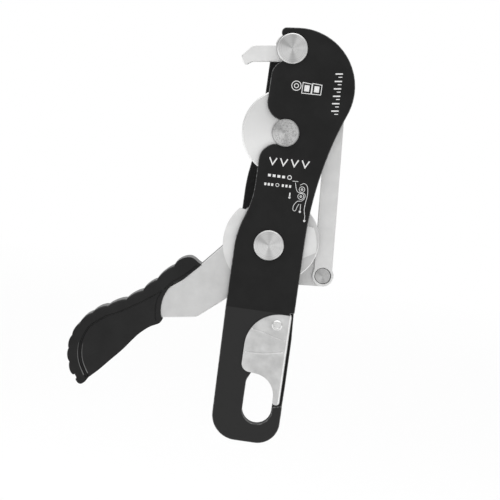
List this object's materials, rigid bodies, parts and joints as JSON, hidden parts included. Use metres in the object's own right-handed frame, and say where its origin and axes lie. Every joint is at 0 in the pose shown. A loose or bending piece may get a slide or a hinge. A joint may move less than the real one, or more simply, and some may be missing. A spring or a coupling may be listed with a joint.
{
  "type": "belay device",
  "caption": "Self-braking rope descender with two plates, a hand lever on a cam, a linked upper brake lever and a gated carabiner eye.",
  "frame": {"origin": "centre of the carabiner eye's lower round end, on the rope's middle plane between the two plates", "axes": "+Z from the carabiner eye towards the head of the plates, +Y from the front swing plate to the rear plate, +X to the side the link runs on, away from the handle"},
  "size_m": [0.1491, 0.0383, 0.2435],
  "materials": {
    "plate": "satin black anodised, light worn edges",
    "rear_plate": "satin black anodised, light worn edges",
    "axle_steel": "finely turned faces with a bright chamfer",
    "upper_axle_steel": "turned, slightly rough",
    "nut_steel": "satin",
    "spacer": "turned",
    "bobbin": "light satin with a polished bevel",
    "cam_steel": "satin cast and machined",
    "disc_plate": "light satin",
    "handle_plate": "satin",
    "link_steel": "light satin",
    "pin_steel": "satin grey",
    "lever_steel": "bright satin",
    "gate_steel": "bead-blasted sheet",
    "rivet_steel": "flared ring, bright",
    "spring_steel": "drawn wire",
    "core": "moulded",
    "grip_rubber": "matt with fine ribs"
  },
  "bodies": {
    "frame": {"rear_plate": "rear_plate", "lower_axle": "axle_steel", "lower_axle_nut": "nut_steel", "upper_axle": "upper_axle_steel", "upper_axle_nut": "nut_steel", "top_pin": "axle_steel", "top_pin_nut": "nut_steel", "upper_bobbin": "bobbin", "bobbin_lock_pin": "pin_steel", "lever_front_spacer": "spacer", "lever_rear_spacer": "spacer", "lower_front_spacer": "spacer", "lower_rear_washer": "spacer", "handle_return_spring": "spring_steel"},
    "swing_plate": {"front_plate": "plate", "gate_rivet": "rivet_steel", "gate_spring": "spring_steel"},
    "gate": {"gate": "gate_steel"},
    "handle": {"handle_front_cheek": "handle_plate", "handle_rear_cheek": "handle_plate", "cam": "cam_steel", "disc_cheek": "disc_plate", "crank_plate": "disc_plate", "cam_bush": "spacer", "cam_rivets": "pin_steel", "handle_rivets": "pin_steel", "handle_core": "core", "grip": "grip_rubber", "link_lower_pin": "pin_steel"},
    "link": {"link_arm": "link_steel"},
    "brake_lever": {"brake_lever": "lever_steel", "link_upper_pin": "pin_steel", "link_spacer": "spacer"}
  },
  "joints": [
    {"name": "swing_plate_hinge", "type": "hinge", "parent": "frame", "child": "swing_plate", "pos_m": [-0.0068, 0, 0.0965], "axis": [0, 1, 0], "range_deg": [0, 110]},
    {"name": "gate_hinge", "type": "hinge", "parent": "swing_plate", "child": "gate", "pos_m": [0.0046, -0.01364, 0.0511], "axis": [0, 0.9986, 0.0523], "range_deg": [0, 22], "stiffness_Nm_per_rad": 0.02, "springref_deg": -22.92, "deforming": ["gate_spring"]},
    {"name": "handle_hinge", "type": "hinge", "parent": "frame", "child": "handle", "pos_m": [-0.0068, 0, 0.0965], "axis": [0, -1, 0], "range_deg": [0, 26], "stiffness_Nm_per_rad": 0.5, "springref_deg": -34.38, "deforming": ["handle_return_spring"]},
    {"name": "link_hinge", "type": "hinge", "parent": "handle", "child": "link", "pos_m": [0.0275, 0, 0.0814], "axis": [0, -1, 0], "range_deg": [-27.04, 0]},
    {"name": "brake_lever_hinge", "type": "hinge", "parent": "frame", "child": "brake_lever", "pos_m": [-0.0093, 0, 0.2111], "axis": [0, -1, 0], "range_deg": [0, 29.38]}
  ],
  "couplings": [
    {"joint": "brake_lever_hinge", "follows": "handle_hinge", "ratio": 1.13},
    {"joint": "link_hinge", "follows": "handle_hinge", "ratio": -1.04}
  ]
}
